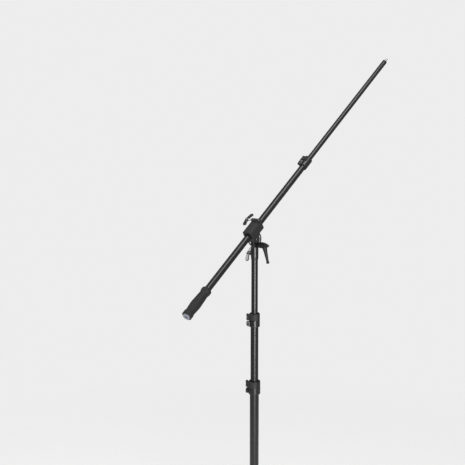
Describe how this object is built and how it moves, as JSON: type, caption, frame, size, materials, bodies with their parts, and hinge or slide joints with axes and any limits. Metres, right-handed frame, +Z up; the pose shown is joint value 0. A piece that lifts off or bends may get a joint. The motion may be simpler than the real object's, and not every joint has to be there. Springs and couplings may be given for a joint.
{
  "type": "boom microphone stand",
  "caption": "Telescopic tripod microphone stand with a tilting clamp head and an extending boom, a rubber counter grip at the boom's rear and a threaded stud at its tip.",
  "frame": {"origin": "centre of the column foot's underside, on the floor", "axes": "+Z up the column, +X under the boom towards its tip, +Y towards the side with the wing knobs"},
  "size_m": [1.4327, 0.8906, 2.1661],
  "materials": {
    "satin_black_paint": "satin black powder coat on steel tube",
    "black_die_casting": "black coated die casting, slightly grained",
    "black_plastic": "black moulded plastic",
    "black_rubber": "matte black rubber",
    "bright_steel": "bright plated steel",
    "grey_metallic_plastic": "silver grey satin plastic"
  },
  "bodies": {
    "base": {"lower_tube": "satin_black_paint", "column_foot": "black_rubber", "base_collar": "black_die_casting", "lower_clamp_body": "black_die_casting", "lower_clamp_bush": "black_plastic", "lower_lever_pin": "bright_steel", "lower_clamp_screw": "bright_steel"},
    "lower_lever": {"lower_lever": "black_die_casting"},
    "crown": {"crown_collar": "black_die_casting", "leg_pin_1": "bright_steel", "leg_pin_2": "bright_steel", "leg_pin_3": "bright_steel"},
    "crown_knob": {"crown_knob": "black_plastic"},
    "leg_1": {"leg_knuckle_1": "black_die_casting", "leg_tube_1": "satin_black_paint", "leg_bracket_1": "black_die_casting", "leg_boot_1": "black_rubber", "strut_rivet_1": "bright_steel"},
    "strut_1": {"strut_1": "satin_black_paint"},
    "leg_2": {"leg_knuckle_2": "black_die_casting", "leg_tube_2": "satin_black_paint", "leg_bracket_2": "black_die_casting", "leg_boot_2": "black_rubber", "strut_rivet_2": "bright_steel"},
    "strut_2": {"strut_2": "satin_black_paint"},
    "leg_3": {"leg_knuckle_3": "black_die_casting", "leg_tube_3": "satin_black_paint", "leg_bracket_3": "black_die_casting", "leg_boot_3": "black_rubber", "strut_rivet_3": "bright_steel"},
    "strut_3": {"strut_3": "satin_black_paint"},
    "middle_stage": {"middle_tube": "satin_black_paint", "upper_clamp_body": "black_die_casting", "upper_clamp_bush": "black_plastic", "upper_lever_pin": "bright_steel", "upper_clamp_screw": "bright_steel"},
    "upper_lever": {"upper_lever": "black_die_casting"},
    "top_stage": {"top_tube": "satin_black_paint"},
    "head": {"head_casting": "black_die_casting", "pivot_pin": "bright_steel", "lock_bolt": "bright_steel", "socket_screw": "bright_steel"},
    "lock_lever": {"lock_lever": "black_plastic"},
    "socket_wing": {"socket_wing": "black_plastic"},
    "tilt_block": {"clamp_block": "black_die_casting", "block_screw": "bright_steel"},
    "block_wing": {"block_wing": "black_plastic"},
    "boom_sleeve": {"block_sleeve": "black_plastic"},
    "boom_outer": {"boom_outer_tube": "satin_black_paint", "boom_grip": "black_rubber", "boom_cap": "grey_metallic_plastic", "boom_clamp_body": "black_die_casting", "boom_clamp_bush": "black_plastic", "boom_lever_pin": "bright_steel", "boom_clamp_screw": "bright_steel"},
    "boom_lever": {"boom_lever": "black_die_casting"},
    "boom_inner": {"boom_inner_tube": "satin_black_paint", "tip_adapter": "black_plastic", "thread_stud": "bright_steel"}
  },
  "joints": [
    {"name": "crown_slide", "type": "slide", "parent": "base", "child": "crown", "axis": [0, 0, 1], "range_m": [0, 0.1077]},
    {"name": "crown_knob_turn", "type": "hinge", "parent": "crown", "child": "crown_knob", "pos_m": [0, 0, 0.45], "axis": [0.5, 0.866, 0], "continuous": true},
    {"name": "leg_1_fold", "type": "hinge", "parent": "crown", "child": "leg_1", "pos_m": [0.04, 0, 0.45], "axis": [0, 1, 0], "range_deg": [0, 34]},
    {"name": "strut_1_fold", "type": "hinge", "parent": "leg_1", "child": "strut_1", "pos_m": [0.19151, 0, 0.26944], "axis": [0, 1, 0], "range_deg": [-68, 0]},
    {"name": "leg_2_fold", "type": "hinge", "parent": "crown", "child": "leg_2", "pos_m": [-0.02, 0.03464, 0.45], "axis": [-0.866, -0.5, 0], "range_deg": [0, 34]},
    {"name": "strut_2_fold", "type": "hinge", "parent": "leg_2", "child": "strut_2", "pos_m": [-0.09575, 0.16585, 0.26944], "axis": [-0.866, -0.5, 0], "range_deg": [-68, 0]},
    {"name": "leg_3_fold", "type": "hinge", "parent": "crown", "child": "leg_3", "pos_m": [-0.02, -0.03464, 0.45], "axis": [0.866, -0.5, 0], "range_deg": [0, 34]},
    {"name": "strut_3_fold", "type": "hinge", "parent": "leg_3", "child": "strut_3", "pos_m": [-0.09575, -0.16585, 0.26944], "axis": [0.866, -0.5, 0], "range_deg": [-68, 0]},
    {"name": "middle_slide", "type": "slide", "parent": "base", "child": "middle_stage", "axis": [0, 0, 1], "range_m": [-0.215, 0.39]},
    {"name": "top_slide", "type": "slide", "parent": "middle_stage", "child": "top_stage", "axis": [0, 0, 1], "range_m": [-0.15, 0.365]},
    {"name": "lower_lever_turn", "type": "hinge", "parent": "base", "child": "lower_lever", "pos_m": [-0.012, 0.02695, 0.88895], "axis": [0, 0, -1], "range_deg": [0, 90]},
    {"name": "upper_lever_turn", "type": "hinge", "parent": "middle_stage", "child": "upper_lever", "pos_m": [-0.02038, 0.01771, 1.15795], "axis": [0, 0, -1], "range_deg": [0, 90]},
    {"name": "head_turn", "type": "hinge", "parent": "top_stage", "child": "head", "pos_m": [0, 0, 1.381], "axis": [0, 0, 1], "continuous": true},
    {"name": "lock_lever_turn", "type": "hinge", "parent": "head", "child": "lock_lever", "pos_m": [0, 0, 1.4395], "axis": [0, -1, 0], "range_deg": [0, 180]},
    {"name": "socket_wing_turn", "type": "hinge", "parent": "head", "child": "socket_wing", "pos_m": [0, 0, 1.403], "axis": [0, 1, 0], "continuous": true},
    {"name": "boom_tilt", "type": "hinge", "parent": "head", "child": "tilt_block", "pos_m": [0, 0, 1.46], "axis": [0, -1, 0], "range_deg": [-93, 37]},
    {"name": "block_wing_turn", "type": "hinge", "parent": "tilt_block", "child": "block_wing", "pos_m": [0.00433, 0, 1.53137], "axis": [0, 1, 0], "continuous": true},
    {"name": "boom_roll", "type": "hinge", "parent": "tilt_block", "child": "boom_sleeve", "pos_m": [-0.01797, 0, 1.48768], "axis": [0.8387, 0, 0.5446], "continuous": true},
    {"name": "boom_slide", "type": "slide", "parent": "boom_sleeve", "child": "boom_outer", "axis": [0.8387, 0, 0.5446], "range_m": [-0.3, 0.285]},
    {"name": "boom_lever_turn", "type": "hinge", "parent": "boom_outer", "child": "boom_lever", "pos_m": [0.35057, 0.01747, 1.74448], "axis": [-0.8387, 0, -0.5446], "range_deg": [0, 90]},
    {"name": "boom_extend", "type": "slide", "parent": "boom_outer", "child": "boom_inner", "axis": [0.8387, 0, 0.5446], "range_m": [-0.745, 0]}
  ],
  "couplings": [
    {"joint": "leg_1_fold", "follows": "crown_slide", "rad_per_m": 5.5099},
    {"joint": "strut_1_fold", "follows": "crown_slide", "rad_per_m": -11.02},
    {"joint": "leg_2_fold", "follows": "crown_slide", "rad_per_m": 5.5099},
    {"joint": "strut_2_fold", "follows": "crown_slide", "rad_per_m": -11.02},
    {"joint": "leg_3_fold", "follows": "crown_slide", "rad_per_m": 5.5099},
    {"joint": "strut_3_fold", "follows": "crown_slide", "rad_per_m": -11.02}
  ]
}
